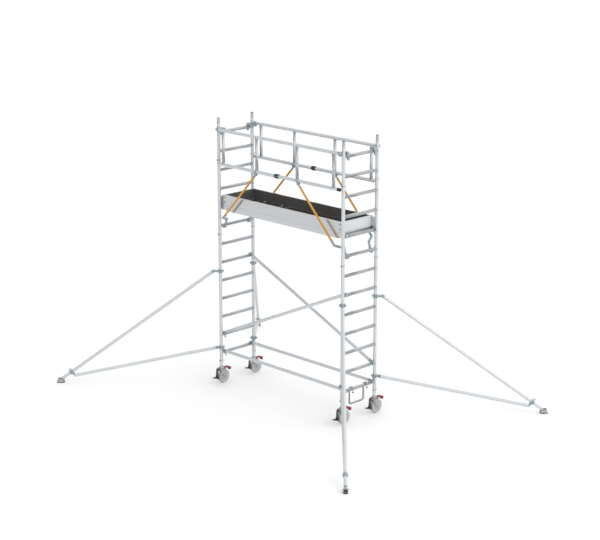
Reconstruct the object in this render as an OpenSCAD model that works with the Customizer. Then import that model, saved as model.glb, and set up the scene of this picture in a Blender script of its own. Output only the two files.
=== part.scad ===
// Mobile tower scaffold: one bay, two ladder-frame ends, guarded platform, castors and stabilisers.
// X runs along the bay, Y across it, Z up. The origin is on the ground, midway between the four uprights.

/* [Tower] */
// Distance between the two ends, upright axis to upright axis
bay_length = 2517; // [2400:1:2650]
// Distance across one end frame, upright axis to upright axis
bay_width = 668; // [664:1:700]
// Height of the first rung above the ground
first_rung = 480; // [470:1:500]
// Spacing of the rungs
rung_pitch = 280; // [270:1:290]
// Outer diameter of the uprights
upright_d = 50.8; // [48:0.1:52]
// Outer diameter of the rungs, rails and braces
tube_d = 48; // [44:0.1:48]
// Wall thickness of every aluminium tube
tube_wall = 2.2; // [2:0.1:3]

/* [Guard rails] */
// Height of the top rail above its platform rung
top_rail_rise = 1167; // [1150:1:1180]
// Drop from the top rail to the mid rail
rail_drop = 501; // [480:1:520]
// How far the rails stand outside the upright axes
rail_offset = 43; // [40:1:60]
// Outer diameter of the yellow struts
strut_d = 30; // [26:1:34]

/* [Platform] */
// Height of the walking surface above the axis of its rung
deck_rise = 45; // [42:1:50]
// Height of the toe boards above the walking surface
toe_height = 150; // [120:1:160]
// Width of the platform over its side rails
platform_w = 612; // [560:1:614]
// Thickness of the plywood deck
deck_t = 10; // [8:1:12]

/* [Castors] */
// Diameter of the castor wheels
wheel_d = 200; // [160:1:200]
// Width of the castor tread
wheel_w = 48; // [40:1:50]
// How far each wheel trails behind its swivel axis
wheel_trail = 40; // [35:1:45]

/* [Stabilisers] */
// Horizontal reach from the upright to the middle of the foot
foot_reach = 2436; // [2200:1:2500]
// Height of the upper clamp on the upright
upper_clamp_z = 1747; // [1700:1:1780]
// Height of the lower clamp on the upright
lower_clamp_z = 560; // [550:1:600]

/* [Hidden] */
$fn = 48;

px = bay_length / 2;
py = bay_width / 2;
gap = 0.05;
upright_r = upright_d / 2;
tube_r = tube_d / 2;
upright_bore = upright_r - tube_wall;
tube_bore = tube_r - tube_wall;
plug_r = tube_bore - 0.3;
claw_r = tube_r + 0.4;

// Rungs are numbered from the ground; the platform hangs on rung 9.
function rung_z(i) = first_rung + (i - 1) * rung_pitch;
foot_gap = 150;
head_gap = 130;
function frame_foot(first) = rung_z(first) - foot_gap;
function frame_head(last) = rung_z(last) + head_gap;
lower_last = 7;
middle_last = 11;
top_last = 13;
clip_rise = 22;
pin_r = 5;

spigot_r = 22;
spigot_tip_r = 21.7;
spigot_wall = 3;
spigot_up = 78;
spigot_down = 120;
rivet_drop = 56;
rivet_r = 4;

deck_z = rung_z(9) + deck_rise;
side_h = 87;
side_w = 36;
side_y = platform_w / 2;
side_x = px - 118.5;
end_x = px - 53.5;
toe_t = 22;
toe_z = deck_z + toe_height;
hatch_x = -700;
hatch_l = 600;
hatch_w = 470;
hinge_y = hatch_w / 2 + 4;
knuckle_r = 7.9;
hinge_z = deck_z + 8.5;
hinge_pin_r = 4;
latch_slide = 22;
knob_y = -hatch_w / 2 + 47;

rail_y = py + rail_offset;
rail_z = rung_z(9) + top_rail_rise;
mid_z = rail_z - rail_drop;
rail_end = px - 58.5;
mid_open_end = px - 23.5;
mid_cap_end = px - 63.5;
post_x = [408, px - 146.5];
collar_x = 8;
collar_l = 72;

strut_x = 430;
strut_z = mid_z - 46;
strut_bend = [px - 125.5, rail_y, rung_z(8) + 148];
strut_knee = [px - 58.5, py - 86, rung_z(8) + 100];
claw_y = py - 88;
strut_r = strut_d / 2;

brace_y = py - 52;
brace_rise = 17;
brace_end = px - 52;

arm_r = tube_r;
foot_z = 42;
foot_stub = 36;
elbow_s = 102;
lower_elbow_s = 60;
joint_s = 2240;
joint_z = 106;
foot_slope = (upper_clamp_z - foot_z) / (foot_reach - elbow_s);

// ---- helpers ----

// Solid round bar from a to b.
module rod(a, b, r) {
    v = b - a;
    len = norm(v);
    translate(a)
        rotate([0, acos(v.z / len), atan2(v.y, v.x)])
            cylinder(h = len, r = r);
}

// Round tube from a to b.
module pipe(a, b, r, bore) {
    v = b - a;
    len = norm(v);
    translate(a)
        rotate([0, acos(v.z / len), atan2(v.y, v.x)])
            difference() {
                cylinder(h = len, r = r);
                translate([0, 0, -1]) cylinder(h = len + 2, r = bore);
            }
}

// Box given by its two opposite corners.
module block(a, b) {
    translate(a) cube(b - a);
}

// Moves a shape drawn in the +X +Y quarter to the quarter with the signs sx, sy.
module quarter(sx, sy) {
    mirror([sx < 0 ? 1 : 0, 0, 0])
        mirror([0, sy < 0 ? 1 : 0, 0])
            children();
}

// Flat shape in X and Z, given a thickness along Y and centred on y.
module slab(y, t) {
    translate([0, y + t / 2, 0])
        rotate([90, 0, 0])
            linear_extrude(height = t)
                children();
}

// Flat shape in Y and Z, given a thickness along X and centred on x.
module plate_x(x, t) {
    translate([x - t / 2, 0, 0])
        rotate([90, 0, 90])
            linear_extrude(height = t)
                children();
}

// Ring sector between two radii, from angle a0 to angle a1.
module sector(r_in, r_out, a0, a1) {
    steps = 6;
    reach = r_out * 1.3;
    rim = [for (i = [0:steps]) let (a = a0 + (a1 - a0) * i / steps) reach * [cos(a), sin(a)]];
    intersection() {
        difference() {
            circle(r = r_out);
            circle(r = r_in);
        }
        polygon(concat([[0, 0]], rim));
    }
}

// ---- ladder frames ----

module upright(x, y, z0, z1) {
    difference() {
        pipe([x, y, z0], [x, y, z1], upright_r, upright_bore);
        rod([x, y - 40, z0 + clip_rise], [x, y + 40, z0 + clip_rise], pin_r + 0.1);
        rod([x, y - 40, z1 - rivet_drop], [x, y + 40, z1 - rivet_drop], rivet_r + 0.1);
    }
}

// Rung with its ends coped to fit the uprights.
module rung(x, z) {
    difference() {
        pipe([x, -py, z], [x, py, z], tube_r, tube_bore);
        for (sy = [-1, 1])
            translate([x, sy * py, z - tube_d])
                cylinder(h = 2 * tube_d, r = upright_r + gap);
    }
}

module ladder_frame(sx, first, last) {
    color([0.80, 0.82, 0.84]) {
        for (sy = [-1, 1])
            upright(sx * px, sy * py, frame_foot(first), frame_head(last) - gap);
        for (i = [first:last])
            rung(sx * px, rung_z(i));
    }
}

// Spigot tube riveted into the head of an upright; the end that takes the next frame is a little thinner.
module spigot(x, y, head) {
    difference() {
        union() {
            rod([x, y, head - spigot_down], [x, y, head], spigot_r);
            rod([x, y, head - 1], [x, y, head + spigot_up], spigot_tip_r);
        }
        rod([x, y, head - spigot_down - 1], [x, y, head + spigot_up + 1], spigot_r - spigot_wall);
        rod([x, y - 40, head + clip_rise], [x, y + 40, head + clip_rise], pin_r + 0.1);
        rod([x, y - 40, head - rivet_drop], [x, y + 40, head - rivet_drop], rivet_r + 0.1);
    }
    translate([x, y, head - rivet_drop]) {
        rod([0, -upright_r - 0.5, 0], [0, upright_r + 0.5, 0], rivet_r);
        for (sy = [-1, 1])
            rod([0, sy * (upright_r + 0.1), 0], [0, sy * (upright_r + 3), 0], 6.5);
    }
}

heads = [frame_head(lower_last), frame_head(middle_last), frame_head(top_last)];

module spigots() {
    color([0.78, 0.80, 0.82])
        for (sx = [-1, 1], sy = [-1, 1], head = heads)
            spigot(sx * px, sy * py, head);
}

module spigot_caps() {
    color([0.22, 0.23, 0.24])
        for (sx = [-1, 1], sy = [-1, 1], head = heads)
            translate([sx * px, sy * py, head + spigot_up]) {
                translate([0, 0, gap]) cylinder(h = 4, r = spigot_r - 1);
                translate([0, 0, -12]) cylinder(h = 13, r = spigot_r - 3.2);
            }
}

// Locking pin through an upright and the spigot inside it, held by a wire ring.
module locking_clip(x, y, z, outward) {
    ring_r = upright_r + 6;
    wire_r = 3.5;
    translate([x, y, z]) {
        rod([0, -outward * (upright_r + 4), 0], [0, outward * (upright_r + 2), 0], pin_r);
        rod([0, outward * (upright_r + 0.8), 0], [0, outward * (upright_r + 14), 0], 10);
        rod([0, -outward * (upright_r + 0.8), 0], [0, -outward * (upright_r + 8), 0], 7);
        rotate_extrude()
            translate([ring_r, 0])
                circle(r = wire_r);
    }
}

module locking_clips() {
    color([0.76, 0.72, 0.68])
        for (sx = [-1, 1], sy = [-1, 1], first = [1, lower_last + 1, middle_last + 1])
            locking_clip(sx * px, sy * py, frame_foot(first) + clip_rise, sy);
}

// ---- castors ----

stem_base = 262;
dome_base = 224;
fork_top = 220;
fork_t = 8;
rim_r = 64;
seal_r = 57;
dome_r = 40;
axle_z = wheel_d / 2;
king_r = 8;
axle_r = 6;
leg_x = wheel_w / 2 + 8;
leg_t = 5;

// Fixed stem: tube, inner spigot, domed head and king pin in one piece.
module castor_stem(x, y) {
    tube_end = frame_foot(1) - gap;
    translate([x, y, 0]) {
        difference() {
            union() {
                translate([0, 0, stem_base]) cylinder(h = tube_end - stem_base, r = upright_r);
                translate([0, 0, stem_base]) cylinder(h = tube_end + 110 - stem_base, r = spigot_r);
            }
            translate([0, 0, stem_base + 20]) cylinder(h = 400, r = spigot_r - 4);
            rod([0, -40, tube_end + clip_rise], [0, 40, tube_end + clip_rise], pin_r + 0.1);
        }
        translate([0, 0, dome_base]) cylinder(h = 8, r = dome_r);
        translate([0, 0, dome_base + 8]) cylinder(h = stem_base - dome_base - 2, r1 = dome_r - 2, r2 = 30);
        translate([0, 0, fork_top - fork_t - 6]) cylinder(h = 30, r = king_r);
        translate([0, 0, fork_top - fork_t - 7]) cylinder(h = 6.8, r = 13);
    }
}

module castor_stems() {
    color([0.66, 0.70, 0.70])
        for (sx = [-1, 1], sy = [-1, 1])
            castor_stem(sx * px, sy * py);
}

// Red dust ring between the fixed head and the turning fork.
module castor_seals() {
    color([0.62, 0.09, 0.11])
        for (sx = [-1, 1], sy = [-1, 1])
            translate([sx * px, sy * py, fork_top + 0.3])
                difference() {
                    cylinder(h = dome_base - fork_top - 0.4, r = seal_r);
                    translate([0, 0, -1]) cylinder(h = 10, r = king_r + 8);
                }
}

brake_pivot = [-92, 118];
lever_pivot = [75, 227];

module fork_leg() {
    polygon([
        [-46, fork_top - 1], [58, fork_top - 1],
        [wheel_trail + 26, axle_z], [wheel_trail - 26, axle_z]
    ]);
    translate([wheel_trail, axle_z]) circle(r = 27);
}

// Turning fork with its brake arm, lever ears and axle bolt.
module castor_fork(x, y) {
    color([0.68, 0.71, 0.71])
        translate([x, y, 0]) {
            difference() {
                union() {
                    translate([0, 0, fork_top - fork_t]) cylinder(h = fork_t, r = rim_r - 2);
                    difference() {
                        translate([0, 0, fork_top - fork_t + 1]) cylinder(h = fork_t + 6, r = rim_r);
                        translate([0, 0, fork_top - 0.05]) cylinder(h = 20, r = rim_r - 5);
                    }
                    for (s = [-1, 1])
                        difference() {
                            plate_x(s * leg_x, leg_t) fork_leg();
                            translate([s * leg_x, wheel_trail, axle_z])
                                rod([-9, 0, 0], [9, 0, 0], axle_r + gap);
                        }
                    for (s = [-1, 1])
                        plate_x(s * 22, 5)
                            polygon([
                                [48, 216], [62, 214], [84, 218], [84, 236],
                                [66.5, 236], [66.5, 219.9], [48, 219.9]
                            ]);
                    plate_x(0, 24)
                        polygon([
                            [-52, 219], [-66.5, 219], [-67, 236], [-80, 243], [-98, 238],
                            [-108, 130], [-104, 106], [-84, 106], [-84, 130], [-76, 196], [-52, 211.5]
                        ]);
                }
                translate([0, 0, fork_top - fork_t - 1]) cylinder(h = fork_t + 2, r = king_r + gap);
                rod([-30, lever_pivot.x, lever_pivot.y], [30, lever_pivot.x, lever_pivot.y], 4 + gap);
                rod([-30, brake_pivot.x, brake_pivot.y], [30, brake_pivot.x, brake_pivot.y], 4 + gap);
            }
            axle_bolt();
        }
}

// Axle bolt through both fork legs, with a hexagon head and nut outside them.
module axle_bolt() {
    reach = leg_x + leg_t / 2;
    rod([-reach - 3, wheel_trail, axle_z], [reach + 3, wheel_trail, axle_z], axle_r);
    for (s = [-1, 1])
        translate([s * (reach + 4.6), wheel_trail, axle_z])
            rotate([0, 90, 0])
                cylinder(h = 8, r = 11, center = true, $fn = 6);
}

// Wheel: tread, web and hub in one moulding with a plain bore.
module castor_wheel(x, y) {
    half = wheel_w / 2;
    color([0.66, 0.65, 0.66])
        translate([x, y + wheel_trail, axle_z])
            rotate([0, 90, 0])
                rotate_extrude($fn = 96)
                    polygon([
                        [axle_r + gap, -half - 4], [26, -half - 4], [30, -10], [72, -10], [76, -half + 2],
                        [axle_z - 4, -half], [axle_z, -half + 5], [axle_z, half - 5], [axle_z - 4, half],
                        [76, half - 2], [72, 10], [30, 10], [26, half + 4], [axle_r + gap, half + 4]
                    ]);
}

// Brake pedal: two cheeks beside the arm, a tread plate and a brake shoe facing the wheel.
module brake_pedal(x, y) {
    color([0.20, 0.21, 0.22])
        translate([x, y, 0]) {
            for (s = [-1, 1])
                plate_x(s * 15.5, 5)
                    polygon([[-104, 128], [-84, 128], [-80, 99], [-112, 99]]);
            rod([-18, brake_pivot.x, brake_pivot.y], [18, brake_pivot.x, brake_pivot.y], 4);
            plate_x(0, 56)
                polygon([[-166, 106], [-162, 110], [-112, 103], [-80, 102], [-80, 94], [-112, 94]]);
            plate_x(0, 34)
                polygon([[-96, 95], [-70, 95], [-67, 84], [-68, 72], [-90, 72]]);
        }
}

// Red release lever on the far side of the fork.
module release_lever(x, y) {
    color([0.62, 0.09, 0.11])
        translate([x, y, 0]) {
            rod([-24, lever_pivot.x, lever_pivot.y], [24, lever_pivot.x, lever_pivot.y], 4);
            plate_x(0, 38)
                polygon([[67, 233], [70, 221], [80, 219], [112, 228], [108, 238], [72, 238]]);
            plate_x(0, 50)
                polygon([
                    [100, 236], [108, 241], [144, 230], [176, 210], [174, 203],
                    [152, 176], [143, 178], [134, 208], [104, 222]
                ]);
        }
}

// ---- platform ----

hatch_x0 = hatch_x - hatch_l / 2;
hatch_x1 = hatch_x + hatch_l / 2;

module box_rail(a, b, axis) {
    wall = 3;
    grow = axis == 0 ? [1, 0, 0] : [0, 1, 0];
    inset = wall * ([1, 1, 1] - grow);
    difference() {
        block(a, b);
        block(a + inset - grow, b - inset + grow);
    }
}

// Welded platform frame: side rails, end rails and cross members, all open box sections.
module platform_frame() {
    inner_y = side_y - side_w;
    top = deck_z - deck_t - gap;
    color([0.80, 0.82, 0.84]) {
        for (s = [-1, 1])
            box_rail(
                [-side_x, min(s * inner_y, s * side_y), deck_z - side_h],
                [side_x, max(s * inner_y, s * side_y), deck_z - gap], 0);
        for (s = [-1, 1])
            box_rail(
                [min(s * (side_x + gap), s * end_x), -side_y + side_w, deck_z - 72],
                [max(s * (side_x + gap), s * end_x), side_y - side_w, deck_z - gap], 1);
        for (x = [hatch_x0 - 20, hatch_x1 + 20, 150, 650])
            box_rail([x - 18, -inner_y + gap, top - 40], [x + 18, inner_y - gap, top], 1);
    }
}

// Plywood boards around the hatch opening.
module platform_deck() {
    inner_y = side_y - side_w - gap;
    z0 = deck_z - deck_t;
    color([0.17, 0.10, 0.07]) {
        block([-side_x, -inner_y, z0], [hatch_x0, inner_y, deck_z]);
        block([hatch_x1, -inner_y, z0], [side_x, inner_y, deck_z]);
        for (s = [-1, 1])
            block(
                [hatch_x0 + gap, min(s * inner_y, s * hatch_w / 2), z0],
                [hatch_x1 - gap, max(s * inner_y, s * hatch_w / 2), deck_z]);
    }
}

claw_plate_y = side_y - 9;
lock_pivot = [px - 56, rung_z(9) - 4];

// Casting that ends a side rail: holds the toe board and hooks over the rung, seen from the side.
module platform_claw_shape() {
    x0 = side_x + gap;
    x1 = end_x + gap;
    difference() {
        union() {
            translate([px, rung_z(9)]) sector(10, claw_r + 17, -25, 120);
            polygon([
                [x0, deck_z - 80], [x0, deck_z - 1], [x1, deck_z - 1], [x1, toe_z - 2], [x1 + 6, toe_z - 2],
                [px - 7, toe_z - 32], [px - 7, rung_z(9)], [px - 36, rung_z(9) - 12],
                [px - 60, rung_z(9) - 25], [px - 90, rung_z(9) - 33]
            ]);
        }
        translate([px, rung_z(9)]) circle(r = claw_r);
        translate(lock_pivot) circle(r = 4 + gap);
    }
}

module platform_claws() {
    color([0.80, 0.82, 0.84])
        for (sx = [-1, 1], sy = [-1, 1])
            quarter(sx, sy)
                slab(claw_plate_y, 18) platform_claw_shape();
}

// Turning catch under the rung that stops the wind lifting the platform.
module wind_lock(sx, sy) {
    color([0.58, 0.63, 0.65])
        quarter(sx, sy) {
            slab(claw_plate_y - 13, 6)
                translate(lock_pivot)
                    polygon([
                        [-11, -6], [-9, 9], [4, 12], [20, 2], [40, -18],
                        [78, -30], [80, -38], [34, -34], [6, -12]
                    ]);
            translate([lock_pivot.x, 0, lock_pivot.y])
                rod([0, claw_plate_y - 12, 0], [0, claw_plate_y + 8.5, 0], 4);
        }
}

hinge_x = [hatch_x - 180, hatch_x + 180];

// Hatch lid with its hinge knuckles and the slot for the latch knob.
module hatch_lid() {
    slack = 2;
    half = 17;
    color([0.17, 0.10, 0.07]) {
        difference() {
            block(
                [hatch_x0 + slack, -hatch_w / 2 + slack, deck_z - deck_t],
                [hatch_x1 - slack, hatch_w / 2 - slack, deck_z]);
            block(
                [hatch_x - 6, knob_y - latch_slide - 7, deck_z - 20],
                [hatch_x + 6, knob_y + 7, deck_z + 1]);
        }
        for (x = hinge_x)
            difference() {
                union() {
                    rod([x - half, hinge_y, hinge_z], [x + half, hinge_y, hinge_z], knuckle_r);
                    block([x - half, hinge_y - 45, deck_z - 1], [x + half, hinge_y - 6.5, deck_z + 4]);
                    block([x - half, hinge_y - 8, deck_z + 1.5], [x + half, hinge_y - 1, deck_z + 4]);
                }
                rod([x - 20, hinge_y, hinge_z], [x + 20, hinge_y, hinge_z], hinge_pin_r + gap);
            }
    }
}

// Fixed hinge halves: a leaf on the deck and two knuckles around each pin.
module hatch_hinges() {
    color([0.55, 0.58, 0.60])
        for (x = hinge_x) {
            rod([x - 40, hinge_y, hinge_z], [x + 40, hinge_y, hinge_z], hinge_pin_r);
            for (s = [-1, 1]) {
                rod([x + s * 18, hinge_y, hinge_z], [x + s * 38, hinge_y, hinge_z], knuckle_r);
                block(
                    [x + min(s * 18, s * 38), hinge_y + 1, deck_z + gap],
                    [x + max(s * 18, s * 38), hinge_y + 28, deck_z + 3.5]);
            }
        }
}

// Sliding bolt under the lid, worked by a knob through the slot.
module hatch_latch() {
    color([0.55, 0.58, 0.60]) {
        block(
            [hatch_x - 12, -hatch_w / 2 + 4, deck_z - deck_t - 9],
            [hatch_x + 12, knob_y + 14, deck_z - deck_t - 0.3]);
        translate([hatch_x, knob_y, deck_z - deck_t - 4]) cylinder(h = deck_t + 10, r = 5);
        translate([hatch_x, knob_y, deck_z + 1]) cylinder(h = 6, r = 9);
    }
}

module toe_board_long(s) {
    color([0.80, 0.82, 0.84])
        block(
            [-end_x, min(s * (side_y - toe_t), s * side_y), deck_z + gap],
            [end_x, max(s * (side_y - toe_t), s * side_y), toe_z]);
}

module toe_board_end(s) {
    inner_y = side_y - toe_t - gap;
    color([0.82, 0.84, 0.86])
        block(
            [min(s * (end_x - toe_t), s * end_x), -inner_y, deck_z + gap],
            [max(s * (end_x - toe_t), s * end_x), inner_y, toe_z]);
}

// ---- guard rails ----

// Double rail of the front side; the back one is this one turned half round.
module guard_rail() {
    y = -rail_y;
    color([0.78, 0.80, 0.82]) {
        pipe([-rail_end, y, rail_z], [rail_end, y, rail_z], tube_r, tube_bore);
        pipe([-mid_open_end, y, mid_z], [mid_cap_end, y, mid_z], tube_r, tube_bore);
        for (s = [-1, 1], x = post_x)
            difference() {
                pipe([s * x, y, mid_z], [s * x, y, rail_z], tube_r - 1, tube_r - 1 - tube_wall);
                for (z = [mid_z, rail_z])
                    rod([s * x - 60, y, z], [s * x + 60, y, z], tube_r + gap);
            }
    }
}

module guard_rail_front() {
    guard_rail();
}

module guard_rail_back() {
    rotate([0, 0, 180]) guard_rail();
}

// Coupler plugged into a rail end: passes the upright on the inside and hooks over the top rung.
module guard_rail_coupler() {
    top = rung_z(top_last);
    hook_y = py - 68;
    inside = px - upright_r - 3;
    end = rail_end + gap;
    difference() {
        union() {
            rod([end, rail_y, rail_z], [px - 4, rail_y, rail_z], tube_r);
            rod([end - 50, rail_y, rail_z], [end + 5, rail_y, rail_z], plug_r);
            block([end, hook_y - 20, top + 5], [inside, rail_y, rail_z + 14]);
            slab(hook_y, 44) {
                translate([px, top]) sector(10, claw_r + 16, -10, 170);
                polygon([
                    [end, rail_z + 14], [px + 24, rail_z + 14], [px + claw_r + 12, top + 14],
                    [px + claw_r + 12, top - 40], [px + 18, top - 40], [px + 18, top], [end, top]
                ]);
            }
        }
        rod([px, 0, top], [px, py, top], claw_r);
        translate([px, py, top - 100]) cylinder(h = 300, r = upright_r + 0.4);
    }
}

module guard_rail_couplers() {
    color([0.55, 0.60, 0.62])
        for (sx = [-1, 1], sy = [-1, 1])
            quarter(sx, sy) guard_rail_coupler();
}

// Black end cap and sliding collar of each mid rail.
module guard_rail_collars() {
    color([0.06, 0.06, 0.06])
        for (turn = [0, 180])
            rotate([0, 0, turn]) {
                pipe(
                    [collar_x - collar_l / 2, -rail_y, mid_z],
                    [collar_x + collar_l / 2, -rail_y, mid_z],
                    tube_r + 8, tube_r + gap);
                rod([mid_cap_end + gap, -rail_y, mid_z], [mid_cap_end + 44, -rail_y, mid_z], tube_r + 0.7);
                rod([mid_cap_end - 20, -rail_y, mid_z], [mid_cap_end + 5, -rail_y, mid_z], plug_r);
            }
}

// Clevis under the mid rail, with the pivot pin of its strut.
module strut_bracket() {
    ear_y = 14;
    difference() {
        union() {
            for (s = [-1, 1])
                slab(rail_y + s * ear_y, 6)
                    polygon([
                        [strut_x - 24, mid_z], [strut_x + 24, mid_z], [strut_x + 16, strut_z - 4],
                        [strut_x + 6, strut_z - 15], [strut_x - 8, strut_z - 15], [strut_x - 17, strut_z - 4]
                    ]);
            rod([strut_x - 24, rail_y, mid_z], [strut_x + 24, rail_y, mid_z], tube_r + 4);
        }
        rod([strut_x - 40, rail_y, mid_z], [strut_x + 40, rail_y, mid_z], tube_r + gap);
        block([strut_x - 40, rail_y - 60, mid_z + 6], [strut_x + 40, rail_y + 60, mid_z + 60]);
        rod([strut_x, rail_y - 40, strut_z], [strut_x, rail_y + 40, strut_z], pin_r + gap);
    }
    rod([strut_x, rail_y - 18, strut_z], [strut_x, rail_y + 18, strut_z], pin_r);
    for (s = [-1, 1])
        rod([strut_x, rail_y + s * 17.2, strut_z], [strut_x, rail_y + s * 22, strut_z], 9);
}

module strut_brackets() {
    color([0.55, 0.60, 0.62])
        for (sx = [-1, 1], sy = [-1, 1])
            quarter(sx, sy) strut_bracket();
}

// Strut: yellow tube, forged eye at the top and a cranked claw at the foot.
module strut(sx, sy) {
    top = [strut_x, rail_y, strut_z];
    dir = (strut_bend - top) / norm(strut_bend - top);
    tube_start = top + 46 * dir;
    tube_end = strut_bend - 78 * dir;
    hook = [px - 36, claw_y, rung_z(8) + 22];
    quarter(sx, sy) {
        color([0.76, 0.55, 0.16])
            pipe(tube_start, tube_end, strut_r, strut_r - 2.5);
        color([0.58, 0.63, 0.65]) {
            difference() {
                union() {
                    rod(top + [0, -9, 0], top + [0, 9, 0], 14);
                    rod(top + 8 * dir, tube_start - 5 * dir, 9);
                    rod(tube_start - 12 * dir, tube_start - gap * dir, strut_r);
                    rod(tube_start - 6 * dir, tube_start + 40 * dir, strut_r - 2.8);
                }
                rod(top + [0, -30, 0], top + [0, 30, 0], pin_r + gap);
            }
            rod(tube_end - 40 * dir, tube_end + 5 * dir, strut_r - 2.8);
            rod(tube_end + gap * dir, strut_bend, strut_r + 3);
            translate(strut_bend) sphere(r = strut_r + 5);
            rod(strut_bend, strut_knee, strut_r + 3);
            difference() {
                union() {
                    translate(strut_knee) sphere(r = strut_r + 5);
                    rod(strut_knee, hook, strut_r + 1);
                    slab(claw_y, 42)
                        translate([px, rung_z(8)])
                            sector(12, tube_r + 19, 138, 298);
                }
                rod([px, 0, rung_z(8)], [px, py, rung_z(8)], tube_r + 2);
            }
        }
    }
}

// ---- braces and step ----

module horizontal_braces() {
    z = rung_z(1) + brace_rise;
    color([0.78, 0.80, 0.82])
        for (sy = [-1, 1])
            pipe([-brace_end, sy * brace_y, z], [brace_end, sy * brace_y, z], tube_r, tube_bore);
}

// End points of the diagonal on the front side, from the second rung to the sixth.
diag_a = [-px, -brace_y, rung_z(2) + brace_rise];
diag_b = [px, -brace_y, rung_z(6) + brace_rise];
diag_dir = (diag_b - diag_a) / norm(diag_b - diag_a);
diag_trim = 54;

module diagonal_braces() {
    color([0.78, 0.80, 0.82])
        for (turn = [0, 180])
            rotate([0, 0, turn])
                pipe(diag_a + diag_trim * diag_dir, diag_b - diag_trim * diag_dir, tube_r, tube_bore);
}

// Claw that drops over a rung from above; dir points from the rung into the brace.
module brace_claw(rung_centre, dir, reach) {
    neck = rung_centre + [0, 0, brace_rise] + 26 * dir;
    tip = rung_centre + [0, 0, brace_rise] + reach * dir;
    difference() {
        union() {
            translate([0, rung_centre.y + 21, 0])
                rotate([90, 0, 0])
                    linear_extrude(height = 42)
                        translate([rung_centre.x, rung_centre.z])
                            sector(claw_r, claw_r + 15, -20, 200);
            rod(neck, tip - gap * dir, tube_r - 1);
            rod(neck, tip + 30 * dir, plug_r);
            translate([rung_centre.x + sign(dir.x) * (claw_r + 6), rung_centre.y, rung_centre.z - 26])
                cylinder(h = 24, r1 = 3, r2 = 9);
        }
        rod(rung_centre - [0, 60, 0], rung_centre + [0, 60, 0], claw_r);
    }
}

module brace_claws() {
    color([0.58, 0.63, 0.65]) {
        for (sx = [-1, 1], sy = [-1, 1])
            brace_claw([sx * px, sy * brace_y, rung_z(1)], [-sx, 0, 0], px - brace_end);
        for (turn = [0, 180])
            rotate([0, 0, turn]) {
                brace_claw([-px, -brace_y, rung_z(2)], diag_dir, diag_trim);
                brace_claw([px, -brace_y, rung_z(6)], -diag_dir, diag_trim);
            }
    }
}

// One half of the step, on the +Y side: hook over the rung, leg and rounded corner.
module step_side(x, half, low, r, bend) {
    rod([x, half, low + bend], [x, half, first_rung + 12], r);
    translate([x, half - bend, low + bend])
        rotate([0, 90, 0])
            rotate_extrude(angle = 90)
                translate([bend, 0])
                    circle(r = r);
    slab(half, 28)
        translate([px, first_rung])
            sector(12, claw_r + 12, -15, 175);
}

// Stirrup hung on the first rung of the right-hand frame as a lower climbing step.
module access_step() {
    r = 13;
    x = px - tube_r - r - 1;
    half = 144;
    low = first_rung - 235;
    bend = 32;
    knob_x = px + claw_r + 6.5;
    color([0.62, 0.62, 0.61]) {
        difference() {
            union() {
                for (side = [0, 1])
                    mirror([0, side, 0])
                        step_side(x, half, low, r, bend);
                rod([x, -half + bend, low], [x, half - bend, low], r);
            }
            rod([px, -py, first_rung], [px, py, first_rung], claw_r);
        }
        for (s = [-1, 1])
            translate([knob_x, s * half, first_rung]) {
                rod([0, 0, -34], [0, 0, -3], 4);
                translate([0, 0, -42]) sphere(r = 11);
            }
    }
}

// ---- stabilisers ----

// Points in the vertical plane of a stabiliser: s outward from the upright axis, z up.
function out(s, z) = [px + s / sqrt(2), py + s / sqrt(2), z];

// Ring clamp round an upright, with a wing handle on the inner side and a neck outward.
module post_clamp(z, neck_end) {
    h = 50;
    difference() {
        union() {
            translate([px, py, z - h / 2]) cylinder(h = h, r = upright_r + 9);
            rod(out(24, z), out(neck_end, z), 19);
            rod(out(-24, z), out(-48, z), 9);
            rod(out(-48, z) + [22, -22, 12], out(-48, z) - [22, -22, -12], 6);
        }
        translate([px, py, z - h]) cylinder(h = 2 * h, r = upright_r + 0.1);
    }
}

module stabiliser(sx, sy) {
    top = out(elbow_s, upper_clamp_z);
    end = out(foot_reach - foot_stub, foot_z + foot_stub * foot_slope);
    arm = (end - top) / norm(end - top);
    low = out(lower_elbow_s, lower_clamp_z - 3);
    low_end = out(joint_s - 26, joint_z + 5);
    stay = (low_end - low) / norm(low_end - low);
    grip_s = joint_s + 26;
    grip = out(grip_s, foot_z + (foot_reach - grip_s) * foot_slope);
    bore = arm_r - tube_wall;
    quarter(sx, sy) {
        color([0.78, 0.80, 0.82]) {
            pipe(top + 24 * arm, end, arm_r, bore);
            pipe(low + 24 * stay, low_end, arm_r, bore);
        }
        color([0.58, 0.63, 0.65]) {
            post_clamp(upper_clamp_z, elbow_s);
            translate(top) sphere(r = 24);
            rod(top, top + (24 - gap) * arm, 22.5);
            rod(top + 12 * arm, top + 60 * arm, bore - 0.3);
            post_clamp(lower_clamp_z, lower_elbow_s);
            translate(low) sphere(r = 24);
            rod(low, low + (24 - gap) * stay, 22.5);
            rod(low + 12 * stay, low + 60 * stay, bore - 0.3);
            difference() {
                union() {
                    rod(grip - 24 * arm, grip + 24 * arm, arm_r + 9);
                    rod(low_end + gap * stay, grip, 19);
                    rod(low_end - 40 * stay, low_end + 10 * stay, bore - 0.3);
                }
                rod(grip - 60 * arm, grip + 60 * arm, arm_r + gap);
            }
            difference() {
                union() {
                    rod(end - 60 * arm, end - gap * arm, bore - 0.3);
                    rod(end - 3 * arm, out(foot_reach, foot_z), 14);
                    translate(out(foot_reach, foot_z)) sphere(r = 16);
                }
                rod(out(foot_reach, foot_z) + [30, -30, 0], out(foot_reach, foot_z) - [30, -30, 0], 6 + gap);
            }
        }
    }
}

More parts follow.
